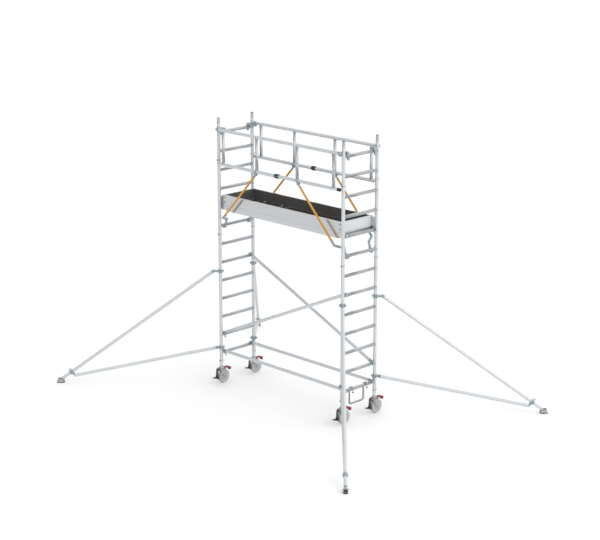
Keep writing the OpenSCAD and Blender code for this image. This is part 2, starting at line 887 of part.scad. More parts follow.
// Foot: folded steel trough on a ribbed rubber sole, with the bolt that carries the stabiliser.
module stabiliser_foot(sx, sy) {
    sole = 12;
    width = 60;
    cheek_t = 3.5;
    cheek_y = (width - cheek_t) / 2;
    bolt_y = width / 2 + 4;
    trough = [[-54, sole + 1], [54, sole + 1], [38, foot_z + 20], [-38, foot_z + 20]];
    quarter(sx, sy)
        translate([px, py, 0])
            rotate([0, 0, 45])
                translate([foot_reach, 0, 0]) {
                    color([0.10, 0.10, 0.10])
                        difference() {
                            slab(0, width - 2)
                                polygon([[-56, 0], [56, 0], [54, sole - gap], [-54, sole - gap]]);
                            for (x = [-45:15:45])
                                block([x - 2.5, -60, -1], [x + 2.5, 60, 4]);
                        }
                    color([0.66, 0.70, 0.70]) {
                        slab(0, width - 1)
                            polygon([[-53, sole], [53, sole], [53, sole + 3], [-53, sole + 3]]);
                        for (s = [-1, 1])
                            difference() {
                                slab(s * cheek_y, cheek_t) polygon(trough);
                                rod([0, s * cheek_y - 10, foot_z], [0, s * cheek_y + 10, foot_z], 6 + gap);
                            }
                        rod([0, -bolt_y, foot_z], [0, bolt_y, foot_z], 6);
                        for (s = [-1, 1])
                            translate([0, s * bolt_y, foot_z])
                                rotate([90, 0, 0])
                                    cylinder(h = 8, r = 11, center = true, $fn = 6);
                    }
                }
}

ladder_frame(-1, 1, lower_last);  // lower_frame_left
ladder_frame(1, 1, lower_last);  // lower_frame_right
ladder_frame(-1, lower_last + 1, middle_last);  // middle_frame_left
ladder_frame(1, lower_last + 1, middle_last);  // middle_frame_right
ladder_frame(-1, middle_last + 1, top_last);  // top_frame_left
ladder_frame(1, middle_last + 1, top_last);  // top_frame_right
spigots();
spigot_caps();
locking_clips();
castor_stems();
castor_seals();
castor_fork(-px, -py);  // castor_fork_front_left
castor_fork(-px, py);  // castor_fork_back_left
castor_fork(px, -py);  // castor_fork_front_right
castor_fork(px, py);  // castor_fork_back_right
castor_wheel(-px, -py);  // castor_wheel_front_left
castor_wheel(-px, py);  // castor_wheel_back_left
castor_wheel(px, -py);  // castor_wheel_front_right
castor_wheel(px, py);  // castor_wheel_back_right
brake_pedal(-px, -py);  // brake_pedal_front_left
brake_pedal(-px, py);  // brake_pedal_back_left
brake_pedal(px, -py);  // brake_pedal_front_right
brake_pedal(px, py);  // brake_pedal_back_right
release_lever(-px, -py);  // release_lever_front_left
release_lever(-px, py);  // release_lever_back_left
release_lever(px, -py);  // release_lever_front_right
release_lever(px, py);  // release_lever_back_right
platform_frame();
platform_deck();
platform_claws();
hatch_lid();
hatch_hinges();
hatch_latch();
wind_lock(-1, -1);  // wind_lock_left
wind_lock(1, 1);  // wind_lock_right
toe_board_long(-1);  // toe_board_front
toe_board_long(1);  // toe_board_back
toe_board_end(-1);  // toe_board_left
toe_board_end(1);  // toe_board_right
guard_rail_front();
guard_rail_back();
guard_rail_couplers();
guard_rail_collars();
strut_brackets();
strut(-1, -1);  // strut_front_left
strut(-1, 1);  // strut_back_left
strut(1, -1);  // strut_front_right
strut(1, 1);  // strut_back_right
horizontal_braces();
diagonal_braces();
brace_claws();
access_step();
stabiliser(-1, -1);  // stabiliser_front_left
stabiliser(-1, 1);  // stabiliser_back_left
stabiliser(1, -1);  // stabiliser_front_right
stabiliser(1, 1);  // stabiliser_back_right
stabiliser_foot(-1, -1);  // stabiliser_foot_front_left
stabiliser_foot(-1, 1);  // stabiliser_foot_back_left
stabiliser_foot(1, -1);  // stabiliser_foot_front_right
stabiliser_foot(1, 1);  // stabiliser_foot_back_right
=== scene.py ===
"""Looks of the mobile tower scaffold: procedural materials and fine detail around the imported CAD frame."""

import math

import bpy
import bmesh
from mathutils import Matrix, Vector


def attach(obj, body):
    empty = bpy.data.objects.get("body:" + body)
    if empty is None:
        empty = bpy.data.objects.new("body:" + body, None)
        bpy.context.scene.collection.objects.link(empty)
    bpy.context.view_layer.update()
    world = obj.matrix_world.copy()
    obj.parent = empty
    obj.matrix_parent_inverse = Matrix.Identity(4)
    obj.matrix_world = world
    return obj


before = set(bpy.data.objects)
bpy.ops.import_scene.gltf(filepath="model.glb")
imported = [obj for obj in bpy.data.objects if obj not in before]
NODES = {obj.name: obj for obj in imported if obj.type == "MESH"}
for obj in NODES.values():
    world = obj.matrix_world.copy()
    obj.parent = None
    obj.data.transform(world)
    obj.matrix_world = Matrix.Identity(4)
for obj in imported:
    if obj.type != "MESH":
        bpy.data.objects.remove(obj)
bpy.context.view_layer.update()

MM = 0.001

# Directions: along the bay, across it, and up; then outward at a corner and across that.
X = Vector((1, 0, 0))
Y = Vector((0, 1, 0))
Z = Vector((0, 0, 1))
OUTWARD = (X + Y).normalized()
ACROSS = (Y - X).normalized()

# Driving dimensions of the CAD part, in metres.
PX = 2517 * MM / 2
PY = 668 * MM / 2
UPRIGHT_R = 25.4 * MM
TUBE_R = 24.0 * MM
RIVET_SEAT = TUBE_R - 0.4 * MM
FIRST_RUNG = 480 * MM
RUNG_PITCH = 280 * MM
DECK_Z = 2765 * MM
TOE_Z = DECK_Z + 150 * MM
SIDE_Y = 306 * MM
END_X = 1205 * MM
SIDE_X = 1140 * MM
RAIL_Y = 377 * MM
RAIL_Z = FIRST_RUNG + 8 * RUNG_PITCH + 1167 * MM
MID_Z = RAIL_Z - 501 * MM
RAIL_POSTS = (408 * MM, 1112 * MM)
COLLAR_X = 8 * MM
BRACE_Y = PY - 52 * MM
HOOK_Y = PY - 68 * MM
STRUT_X = 430 * MM
STRUT_PIN_Z = MID_Z - 46 * MM
STEP_Y = 144 * MM
HATCH_X = -700 * MM
HATCH_L = 600 * MM
HATCH_W = 470 * MM
FOOT_REACH = 2436 * MM
FOOT_PIN_Z = 42 * MM
CLAMP_Z = 1747 * MM
LOW_CLAMP_Z = 560 * MM
ELBOW_REACH = 102 * MM
WHEEL_TRAIL = 40 * MM
WHEEL_R = 100 * MM
CORNERS = {
    "front_left": (-1, -1),
    "back_left": (-1, 1),
    "front_right": (1, -1),
    "back_right": (1, 1),
}
HEADS = [2290 * MM, 3410 * MM, 3970 * MM]


def rung_z(i):
    return FIRST_RUNG + (i - 1) * RUNG_PITCH


# ---- procedural materials ----


class Material:
    """Small helper that builds one node material on object coordinates."""

    def __init__(self, name):
        self.material = bpy.data.materials.new(name)
        self.material.use_nodes = True
        self.tree = self.material.node_tree
        self.shader = self.tree.nodes["Principled BSDF"]
        self.coords = self.tree.nodes.new("ShaderNodeTexCoord").outputs["Object"]

    def node(self, kind, **inputs):
        made = self.tree.nodes.new(kind)
        for key, value in inputs.items():
            socket = made.inputs[key.replace("_", " ")]
            if isinstance(value, bpy.types.NodeSocket):
                self.tree.links.new(value, socket)
            else:
                socket.default_value = value
        return made

    def link(self, source, target):
        self.tree.links.new(source, target)

    def stretched(self, stretch):
        return self.node("ShaderNodeMapping", Vector=self.coords, Scale=stretch).outputs["Vector"]

    def noise(self, scale, detail=4.0, rough=0.55, stretch=(1, 1, 1)):
        made = self.node(
            "ShaderNodeTexNoise", Vector=self.stretched(stretch), Scale=scale, Detail=detail, Roughness=rough
        )
        return made.outputs["Fac"]

    def spread(self, value, low, high):
        """Maps the middle range of a texture value to low..high."""
        made = self.node("ShaderNodeMapRange", Value=value)
        made.inputs["From Min"].default_value = 0.3
        made.inputs["From Max"].default_value = 0.7
        made.inputs["To Min"].default_value = low
        made.inputs["To Max"].default_value = high
        return made.outputs["Result"]

    def mix(self, factor, a, b):
        made = self.tree.nodes.new("ShaderNodeMix")
        made.data_type = "RGBA"
        for socket, value in ((made.inputs[0], factor), (made.inputs[6], a), (made.inputs[7], b)):
            if isinstance(value, bpy.types.NodeSocket):
                self.link(value, socket)
            else:
                socket.default_value = value if isinstance(value, float) else (*value[:3], 1)
        return made.outputs[2]

    def bump(self, height, strength, distance):
        made = self.node("ShaderNodeBump", Height=height, Strength=strength, Distance=distance)
        return made.outputs["Normal"]


def shade(colour, factor):
    return tuple(min(1.0, c * factor) for c in colour)


def surface(
    name, colour, metallic, rough, grain=300.0, depth=0.0002, vary=0.08, stretch=(1, 1, 1), spots=None
):
    """Satin or matt surface with cloudy colour, uneven roughness and fine grain."""
    m = Material(name)
    cloud = m.spread(m.noise(7.0), 0.0, 1.0)
    fine = m.noise(grain, 3.0, 0.6, stretch)
    tone = m.mix(cloud, shade(colour, 1 - vary), shade(colour, 1 + vary))
    tone = m.mix(m.spread(fine, 0.0, 0.35), tone, shade(colour, 1 - 2 * vary))
    if spots is not None:
        mask = m.spread(m.noise(45.0, 6.0, 0.7), -1.2, 0.9)
        clipped = m.node("ShaderNodeClamp", Value=mask).outputs["Result"]
        tone = m.mix(clipped, tone, spots)
    m.link(tone, m.shader.inputs["Base Color"])
    m.shader.inputs["Metallic"].default_value = metallic
    m.link(m.spread(m.noise(20.0, 5.0), rough - 0.07, rough + 0.09), m.shader.inputs["Roughness"])
    m.link(m.bump(fine, 0.35, depth), m.shader.inputs["Normal"])
    return m.material


def galvanised(name, colour, rough=0.42):
    """Zinc surface with crystal spangle over fine grain."""
    m = Material(name)
    cells = m.node("ShaderNodeTexVoronoi", Vector=m.coords, Scale=140.0)
    grey = m.node("ShaderNodeSeparateColor", Color=cells.outputs["Color"]).outputs["Red"]
    tone = m.mix(m.spread(grey, 0.0, 1.0), shade(colour, 0.86), shade(colour, 1.1))
    dull = m.spread(m.noise(18.0, 5.0), 0.0, 0.5)
    m.link(m.mix(dull, tone, shade(colour, 0.78)), m.shader.inputs["Base Color"])
    m.shader.inputs["Metallic"].default_value = 0.55
    m.link(m.spread(grey, rough - 0.08, rough + 0.1), m.shader.inputs["Roughness"])
    m.link(m.bump(m.noise(420.0), 0.3, 0.0003), m.shader.inputs["Normal"])
    return m.material


def plywood(name, colour):
    """Film-faced board with a pressed hexagonal non-slip pattern and scuffs."""
    m = Material(name)
    cells = m.node("ShaderNodeTexVoronoi", Vector=m.coords, Scale=160.0, Randomness=0.12)
    cells.feature = "DISTANCE_TO_EDGE"
    scuff = m.spread(m.noise(9.0, 8.0, 0.7, (1, 4, 1)), 0.0, 0.6)
    tone = m.mix(scuff, colour, shade(colour, 1.7))
    m.link(tone, m.shader.inputs["Base Color"])
    m.link(m.spread(m.noise(30.0), 0.5, 0.75), m.shader.inputs["Roughness"])
    m.link(m.bump(cells.outputs["Distance"], 0.6, 0.001), m.shader.inputs["Normal"])
    return m.material


def painted(name, colour, wear, rough=0.38):
    """Coated metal with orange peel, faded patches and small chips to the primer."""
    m = Material(name)
    fade = m.spread(m.noise(6.0, 4.0), 0.0, 0.5)
    tone = m.mix(fade, colour, shade(colour, 1.15))
    chips = m.spread(m.noise(160.0, 6.0, 0.75), -2.6, 1.3)
    clipped = m.node("ShaderNodeClamp", Value=chips).outputs["Result"]
    m.link(m.mix(clipped, tone, wear), m.shader.inputs["Base Color"])
    m.link(m.spread(m.noise(25.0, 4.0), rough - 0.06, rough + 0.12), m.shader.inputs["Roughness"])
    m.shader.inputs["Coat Weight"].default_value = 0.15
    m.link(m.bump(m.noise(260.0, 2.0), 0.2, 0.0003), m.shader.inputs["Normal"])
    return m.material


TUBE = surface(
    "drawn_aluminium_tube", (0.60, 0.625, 0.645), 0.5, 0.34, 240.0, vary=0.035, spots=(0.5, 0.52, 0.53)
)
PROFILE = surface(
    "extruded_aluminium", (0.545, 0.56, 0.58), 0.8, 0.2, vary=0.02, stretch=(0.1, 3, 3)
)
# Painted light: a lighter copy of the extruded aluminium for the end toe boards and their lips, whose faces
# turn towards the light.
PROFILE_LIT = surface(
    "extruded_aluminium_painted_light", (0.62, 0.64, 0.655), 0.3, 0.42, vary=0.01, stretch=(1, 0.1, 1)
)
# Painted shade: a near-black colour on the inner faces of the toe boards and inside the foot troughs, where
# shade falls.
INNER_SHADE = surface(
    "painted_shade_inner_face", (0.105, 0.103, 0.10), 0.2, 0.5, 260.0, vary=0.1, spots=(0.15, 0.145, 0.14)
)
CASTING = surface(
    "zinc_casting", (0.33, 0.385, 0.41), 0.5, 0.4, 420.0, 0.0005, 0.1, spots=(0.22, 0.25, 0.27)
)
ZINC = galvanised("galvanised_steel", (0.42, 0.455, 0.455))
STEP_ZINC = galvanised("galvanised_tube", (0.33, 0.33, 0.325))
WIRE = surface("passivated_wire", (0.62, 0.55, 0.48), 0.6, 0.3, 600.0, vary=0.1)
BOLT = surface("zinc_fastener", (0.42, 0.43, 0.43), 0.8, 0.3, 500.0, vary=0.12)
CLIP_HEAD = surface("clip_head", (0.26, 0.235, 0.21), 0.6, 0.4, 500.0, 0.0003, 0.12)
DARK_STEEL = surface(
    "dark_steel", (0.06, 0.066, 0.07), 0.5, 0.4, 400.0, 0.0004, 0.2, spots=(0.14, 0.14, 0.13)
)
BLACK = surface(
    "black_plastic", (0.012, 0.012, 0.013), 0.0, 0.42, 700.0, 0.0003, 0.2, spots=(0.03, 0.03, 0.03)
)
WHEEL_GREY = surface(
    "grey_nylon", (0.56, 0.55, 0.555), 0.0, 0.5, 500.0, 0.0004, 0.06, spots=(0.36, 0.35, 0.36)
)
TREAD = surface(
    "grey_tyre", (0.43, 0.415, 0.42), 0.0, 0.7, 380.0, 0.0008, 0.1, spots=(0.25, 0.24, 0.235)
)
RUBBER = surface(
    "ribbed_rubber", (0.018, 0.018, 0.019), 0.0, 0.75, 380.0, 0.0009, 0.25, spots=(0.05, 0.048, 0.045)
)
RED = painted("red_coating", (0.22, 0.004, 0.007), (0.12, 0.03, 0.03))
YELLOW = painted("yellow_coating", (0.53, 0.255, 0.010), (0.32, 0.22, 0.11))
DECK = plywood("film_faced_plywood", (0.026, 0.013, 0.008))
FLOOR = surface("studio_floor", (0.95, 0.95, 0.95), 0.0, 0.9, 12.0, 0.0001, 0.003)


# ---- mesh building ----


def arc(centre, u, v, r, start, sweep, steps):
    """Points round centre, from angle start through sweep, both in degrees from u towards v."""
    points = []
    for i in range(steps + 1):
        a = math.radians(start + sweep * i / steps)
        points.append(centre + r * (math.cos(a) * u + math.sin(a) * v))
    return points


def band(r, lip, width, chamfer=0.001):
    """Profile for turned(): a raised ring from radius r to r + lip, chamfered at both sides."""
    return [(0, r), (chamfer, r + lip), (width - chamfer, r + lip), (width, r)]


def circle_frame(direction):
    """Two unit vectors across a direction."""
    d = Vector(direction).normalized()
    side = Vector((0, 0, 1)) if abs(d.z) < 0.9 else Vector((1, 0, 0))
    u = d.cross(side).normalized()
    return u, d.cross(u).normalized()


class Shape:
    """A mesh being built, in the row frame and in metres."""

    def __init__(self):
        self.mesh = bmesh.new()

    def ring(self, centre, u, v, r, count):
        points = []
        for i in range(count):
            a = 2 * math.pi * i / count
            points.append(self.mesh.verts.new(centre + r * (math.cos(a) * u + math.sin(a) * v)))
        return points

    def skin(self, rings, closed=False):
        """Joins a row of vertex rings with quads and caps the ends, or joins last to first."""
        count = len(rings[0])
        pairs = list(zip(rings, rings[1:]))
        if closed:
            pairs.append((rings[-1], rings[0]))
        for a, b in pairs:
            for i in range(count):
                j = (i + 1) % count
                self.mesh.faces.new((a[i], a[j], b[j], b[i]))
        if not closed:
            self.mesh.faces.new(list(reversed(rings[0])))
            self.mesh.faces.new(rings[-1])
        return self

    def turned(self, base, axis, profile, count=24):
        """Solid of revolution: profile is (distance along the axis, radius) pairs."""
        d = Vector(axis).normalized()
        u, v = circle_frame(d)
        base = Vector(base)
        return self.skin([self.ring(base + h * d, u, v, max(r, 1e-5), count) for h, r in profile])

    def swept(self, points, r, count=10, closed=False):
        """Round bar along a path."""
        points = [Vector(p) for p in points]
        last = len(points) - 1
        rings = []
        u = None
        for i, p in enumerate(points):
            before = points[i - 1] if i > 0 or closed else p
            after = points[(i + 1) % len(points)] if i < last or closed else p
            d = (after - before).normalized()
            if u is None:
                u = circle_frame(d)[0]
            u = (u - u.dot(d) * d).normalized()
            rings.append(self.ring(p, u, d.cross(u), r, count))
        return self.skin(rings, closed)

    def prism(self, outline, offset):
        """Flat outline, a list of points in space, given a thickness by the vector offset."""
        a = [self.mesh.verts.new(Vector(p)) for p in outline]
        b = [self.mesh.verts.new(Vector(p) + Vector(offset)) for p in outline]
        return self.skin([a, b])

    def bar(self, low, high):
        """Box between two corners."""
        (x0, y0, z0), (x1, y1, z1) = low, high
        outline = [(x0, y0, z0), (x1, y0, z0), (x1, y1, z0), (x0, y1, z0)]
        return self.prism(outline, (0, 0, z1 - z0))

    def bolt(self, base, axis, r, height, sides=6):
        """Hexagon head on a washer, with a chamfered top."""
        self.turned(base, axis, [(0, 1.75 * r), (0.18 * height, 1.75 * r), (0.22 * height, 1.6 * r)], 20)
        top = [(0.2 * height, r), (0.85 * height, r), (height, 0.82 * r)]
        return self.turned(base, axis, top, sides)

    def rivet(self, base, axis, r):
        """Domed rivet head."""
        dome = [(0.0, 1.0), (0.25, 0.95), (0.45, 0.7), (0.55, 0.3), (0.56, 0.02)]
        return self.turned(base, axis, [(height * r, width * r) for height, width in dome], 12)

    def helix(self, start, axis, r, turns, wire, count=8):
        """Coil spring from start along the vector axis."""
        a = Vector(axis)
        u, v = circle_frame(a)
        steps = int(turns * 14)
        points = []
        for i in range(steps + 1):
            t = i / steps
            angle = 2 * math.pi * turns * t
            points.append(Vector(start) + t * a + r * (math.cos(angle) * u + math.sin(angle) * v))
        return self.swept(points, wire, count)

    def mirrored(self, sx, sy):
        """Moves everything from the +X +Y quarter to the quarter with these signs."""
        bmesh.ops.transform(self.mesh, matrix=Matrix.Diagonal((sx, sy, 1, 1)), verts=self.mesh.verts)
        return self

    def bar_between(self, a, b, width, height):
        """Bar from a to b, with the full width and height vectors centred on that line."""
        a, b, w, h = Vector(a), Vector(b), Vector(width) / 2, Vector(height) / 2
        outline = [a - w - h, a + w - h, a + w + h, a - w + h]
        return self.prism(outline, b - a)

    def join(self, other):
        """Takes the geometry of another shape."""
        data = bpy.data.meshes.new("part")
        other.mesh.to_mesh(data)
        self.mesh.from_mesh(data)
        bpy.data.meshes.remove(data)
        other.mesh.free()
        return self

    def piece(self, name, material, body, bevel=0.0):
        """Ends the shape as a visible object that rides on a body."""
        bmesh.ops.recalc_face_normals(self.mesh, faces=self.mesh.faces)
        data = bpy.data.meshes.new(name)
        self.mesh.to_mesh(data)
        self.mesh.free()
        made = bpy.data.objects.new(name, data)
        bpy.context.scene.collection.objects.link(made)
        data.materials.append(material)
        finish_edges(made, bevel)
        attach(made, body)
        return made


def finish_edges(obj, bevel):
    """Rounds sharp edges and shades the rest smooth."""
    if bevel:
        edge = obj.modifiers.new("rounded_edges", "BEVEL")
        edge.width = bevel
        edge.segments = 2
        edge.limit_method = "ANGLE"
        edge.angle_limit = math.radians(40)
        edge.harden_normals = False
    obj.data.shade_smooth()
    obj.data.set_sharp_from_angle(angle=math.radians(38))


def in_all_corners(build):
    """One shape holding the quarter shape made by build() in all four quarters."""
    whole = Shape()
    for sx, sy in CORNERS.values():
        whole.join(build().mirrored(sx, sy))
    return whole


# ---- CAD nodes: materials and rounded edges ----


def axis_distance(p, a, b):
    """(distance from the line a-b, distance along it from a, its length)."""
    a, b = Vector(a), Vector(b)
    d = (b - a).normalized()
    along = (p - a).dot(d)
    return (p - a - along * d).length, along, (b - a).length


def dress(node, *materials, pick=None, bevel=0.0008):
    """Gives a CAD node its materials; pick(centre, normal) chooses one per face."""
    obj = NODES[node]
    mesh = obj.data
    mesh.materials.clear()
    for material in materials:
        mesh.materials.append(material)
    if pick:
        for face in mesh.polygons:
            face.material_index = pick(face.center, face.normal)
    weld = obj.modifiers.new("weld", "WELD")
    weld.merge_threshold = 0.00002
    if bevel:
        edge = obj.modifiers.new("rounded_edges", "BEVEL")
        edge.width = bevel
        edge.segments = 2
        edge.limit_method = "ANGLE"
        edge.angle_limit = math.radians(50)
    return obj


# Each chooser takes a face's centre and normal, and returns the place of its material in dress().


def is_clip_head(c, n):
    """The pin's head stands outside the wire ring on the outer side of the upright."""
    return int(abs(c.y) - PY > 0.0262 and abs(abs(c.x) - PX) < 0.0102)


def faces_in_along(c, n):
    """Inner face of an end toe board, which gets the painted shade."""
    return int(n.x * c.x < -0.5 * abs(c.x))


def faces_in_across(c, n):
    """Inner face of a long toe board, which gets the painted shade."""
    return int(n.y * c.y < -0.5 * abs(c.y))


def is_stem_tube(c, n):
    """Tube above the castor's domed head."""
    return int(c.z > 269 * MM)


def is_lid_hardware(c, n):
    """Hinge leaves that stand above the hatch lid's board."""
    return int(c.z > DECK_Z + 0.0005)


def is_step_knob(c, n):
    """Screw knobs on the outer side of the step's hooks."""
    return int(c.x > PX + 0.015 and c.z < 0.4515)


for side in ("left", "right"):
    for level in ("lower", "middle", "top"):
        dress(f"{level}_frame_{side}", TUBE, bevel=0)
    dress(f"toe_board_{side}", PROFILE_LIT, INNER_SHADE, pick=faces_in_along)
    dress(f"wind_lock_{side}", CASTING)
for side in ("front", "back"):
    dress(f"toe_board_{side}", PROFILE, INNER_SHADE, pick=faces_in_across)
    dress(f"guard_rail_{side}", TUBE, bevel=0)

dress("spigots", ZINC, bevel=0.0005)
dress("spigot_caps", BLACK)
dress("locking_clips", WIRE, CLIP_HEAD, pick=is_clip_head, bevel=0)
dress("castor_stems", ZINC, TUBE, pick=is_stem_tube, bevel=0.0005)
dress("castor_seals", RED)
dress("platform_frame", PROFILE)
dress("platform_claws", PROFILE)
dress("platform_deck", DECK)
dress("hatch_lid", DECK, ZINC, pick=is_lid_hardware, bevel=0)
dress("hatch_hinges", DARK_STEEL, bevel=0)
dress("hatch_latch", DARK_STEEL)
dress("guard_rail_couplers", CASTING, bevel=0.0015)
dress("guard_rail_collars", BLACK)
dress("strut_brackets", CASTING)
dress("horizontal_braces", TUBE, bevel=0)
dress("diagonal_braces", TUBE, bevel=0)
dress("brace_claws", CASTING, bevel=0.0015)
dress("access_step", STEP_ZINC, BLACK, pick=is_step_knob, bevel=0)

STRUT_TOP = Vector((STRUT_X, RAIL_Y, STRUT_PIN_Z))
STRUT_BEND = Vector((1133 * MM, RAIL_Y, rung_z(8) + 148 * MM))
STRUT_DIR = (STRUT_BEND - STRUT_TOP).normalized()
YELLOW_FROM = 46 * MM
YELLOW_TO = (STRUT_BEND - STRUT_TOP).length - 78 * MM


def is_grey_end(c, n):
    """Bare metal ends of a strut, outside its yellow tube."""
    p = Vector((abs(c.x), abs(c.y), c.z))
    off, along, _ = axis_distance(p, STRUT_TOP, STRUT_BEND)
    return int(not (YELLOW_FROM - 1e-4 <= along <= YELLOW_TO + 1e-4 and off > 0.0124))


def is_clamp(c, n):
    """Everything on a stabiliser that isn't the wall of its two tubes."""
    p = Vector((abs(c.x), abs(c.y), c.z))
    for start, end in STABILISER_AXES:
        off, along, length = axis_distance(p, start, end)
        if -1e-4 <= along <= length + 1e-4 and 0.0216 < off < TUBE_R + 2e-4:
            return 0
    return 1


def out(s, z):
    """Point in the vertical plane of a stabiliser, s outward from the upright."""
    return Vector((PX + s / math.sqrt(2), PY + s / math.sqrt(2), z))


def on_arm(back):
    """Point on the upper tube's axis, this far back from the foot's pin when seen from above."""
    return out(FOOT_REACH - back, FOOT_PIN_Z + back * FOOT_SLOPE)


ELBOW = out(ELBOW_REACH, CLAMP_Z)
FOOT_SLOPE = (CLAMP_Z - FOOT_PIN_Z) / (FOOT_REACH - ELBOW_REACH)
ARM_END = on_arm(36 * MM)
ARM_DIR = (ARM_END - ELBOW).normalized()
LOW_ELBOW = out(60 * MM, LOW_CLAMP_Z - 3 * MM)
STAY_END = out(2214 * MM, 111 * MM)
STAY_DIR = (STAY_END - LOW_ELBOW).normalized()
GRIP = on_arm(170 * MM)
STABILISER_AXES = [
    (ELBOW + 0.024 * ARM_DIR, ARM_END),
    (LOW_ELBOW + 0.024 * STAY_DIR, STAY_END),
]


def wheel_face(c, n):
    """Tyre tread on the outside of a wheel, nylon elsewhere."""
    for sx, sy in CORNERS.values():
        if abs(c.x - sx * PX) < 0.05 and abs(c.y - (sy * PY + WHEEL_TRAIL)) < 0.12:
            r = math.hypot(c.y - sy * PY - WHEEL_TRAIL, c.z - WHEEL_R)
            return int(r > 0.0785)
    return 0


def is_brake_arm(c, n):
    """The arm stands behind the swivel head of each castor."""
    dy = c.y - math.copysign(PY, c.y)
    dx = abs(c.x) - PX
    return int(dy < -0.0515 and abs(dx) < 0.0125 and (dy < -0.0642 or c.z < 0.2118))


def foot_face(c, n):
    """Rubber sole, galvanised trough and painted shade on the trough's inside."""
    sx, sy = math.copysign(1, c.x), math.copysign(1, c.y)
    across = Vector((-sy, sx, 0)) / math.sqrt(2)
    side = (c - Vector((sx * PX, sy * PY, 0))).dot(across)
    if c.z < 0.0119:
        return 0
    inside = abs(side) < 0.0270 and (n.dot(across) * side < -0.5 * abs(side) or n.z > 0.9)
    return 2 if inside else 1


for corner in CORNERS:
    dress(f"castor_fork_{corner}", ZINC, DARK_STEEL, pick=is_brake_arm, bevel=0.0006)
    dress(f"castor_wheel_{corner}", WHEEL_GREY, TREAD, pick=wheel_face, bevel=0.001)
    dress(f"brake_pedal_{corner}", DARK_STEEL, bevel=0.0012)
    dress(f"release_lever_{corner}", RED, bevel=0.0015)
    dress(f"strut_{corner}", YELLOW, CASTING, pick=is_grey_end, bevel=0)
    dress(f"stabiliser_{corner}", TUBE, CASTING, pick=is_clamp, bevel=0)
    dress(f"stabiliser_foot_{corner}", RUBBER, ZINC, INNER_SHADE, pick=foot_face, bevel=0.0006)


# ---- fine detail: every piece rides on the body it belongs to ----


def saddle(centre, along, across, r, other_r, side):
    """Closed path where a tube of radius r, pointing along side, meets one of radius other_r."""
    points = []
    for i in range(28):
        a = 2 * math.pi * i / 28
        flat = r * math.cos(a)
        reach = math.sqrt(max(other_r ** 2 - flat ** 2, 0.0))
        points.append(centre + along * flat + across * (r * math.sin(a)) + side * reach)
    return points


def frame_welds():
    """Weld beads round every rung end."""
    beads = Shape()
    for i in range(1, 14):
        path = saddle(Vector((PX, PY, rung_z(i))), X, Z, TUBE_R + 0.0006, UPRIGHT_R, -Y)
        beads.swept(path, 0.0022, 6, closed=True)
    return beads


def rail_welds():
    """Weld beads at both ends of the guard rail's verticals."""
    beads = Shape()
    for x in RAIL_POSTS:
        for z, way in ((MID_Z, Z), (RAIL_Z, -Z)):
            path = saddle(Vector((x, RAIL_Y, z)), Y, X, TUBE_R - 0.0006, TUBE_R, way)
            beads.swept(path, 0.002, 6, closed=True)
    return beads


def spigot_rivets():
    """Domed rivet heads on both sides of every spigot joint, and a swaged bead under the spigot's rim."""
    made = Shape()
    for head in HEADS:
        for way in (-1, 1):
            base = (PX, PY + way * (UPRIGHT_R + 0.0028), head - 56 * MM)
            made.rivet(base, Y * way, 6.2 * MM)
        made.turned((PX, PY, head + 0.0746), Z, [(0, 0.0219), (0.0012, 0.0224), (0.0024, 0.0219)])
    return made


def upright_collars():
    """Pressed bead round the upright under each frame joint."""
    made = Shape()
    for head in HEADS[:2]:
        for dz in (-8 * MM, 9 * MM):
            profile = [(0, UPRIGHT_R - 0.0004), (0.002, UPRIGHT_R + 0.0009), (0.004, UPRIGHT_R - 0.0004)]
            made.turned((PX, PY, head + dz), Z, profile, 32)
    return made


def stem_trim():
    """Rolled rings on the castor's fixed head."""
    made = Shape()
    for r, z in ((0.0378, 0.2325), (0.0332, 0.2560), (0.0300, 0.2655)):
        made.turned((PX, PY, z), Z, [(0, r), (0.0015, r + 0.0012), (0.003, r - 0.001)], 40)
    return made


def fork_trim():
    """Bearing race, pressed ribs, axle washers and grease nipple of one castor fork."""
    made = Shape()
    axle_y = PY + WHEEL_TRAIL
    washer = [(0, 0.0175), (0.001, 0.0175), (0.0014, 0.0165)]
    axle_end = [(0, 0.0052), (0.006, 0.0052), (0.0068, 0.0044)]
    nipple = [(0, 0.003), (0.004, 0.003), (0.005, 0.0018), (0.007, 0.0022)]
    rib = [(PY - 0.028, 0.206), (axle_y - 0.012, 0.128), (axle_y + 0.012, 0.128), (PY + 0.042, 0.206)]
    made.turned((PX, PY, 0.2165), Z, band(0.0636, 0.0016, 0.006, 0.0015), 44)
    for way in (-1, 1):
        face = PX + way * 0.0345
        made.turned((face, axle_y, WHEEL_R), X * way, washer, 28)
        made.swept([(face, y, z) for y, z in rib], 0.0022, 8, closed=True)
        made.rivet((face, PY + 0.006, 0.196), X * way, 0.005)
        made.turned((PX + way * 0.0425, axle_y, WHEEL_R), X * way, axle_end, 16)
    made.turned((PX, PY + 0.05, 0.2195), (0, 0.55, 0.35), nipple, 10)
    return made


def wheel_trim():
    """Ribs, rim ring and bearing ring on both sides of a wheel."""
    made = Shape()
    centre = Vector((PX, PY + WHEEL_TRAIL, WHEEL_R))
    rim = [(0, 0.0765), (0.010, 0.0765), (0.0105, 0.0755), (0.0105, 0.0715), (0, 0.0705)]
    bearing = [(0, 0.0262), (0.0012, 0.0256), (0.0016, 0.022), (0.0012, 0.0125)]
    for way in (-1, 1):
        web = centre + way * 0.0095 * X
        for i in range(12):
            a = 2 * math.pi * i / 12
            radial = Vector((0, math.cos(a), math.sin(a)))
            side = Vector((0, -math.sin(a), math.cos(a))) * 0.0022
            inner, outer = web + 0.0285 * radial, web + 0.0745 * radial
            made.prism([inner - side, outer - side, outer + side, inner + side], X * way * 0.0075)
        made.turned(web, X * way, rim, 48)
        made.turned(centre + way * 0.0265 * X, X * way, bearing, 32)
    return made


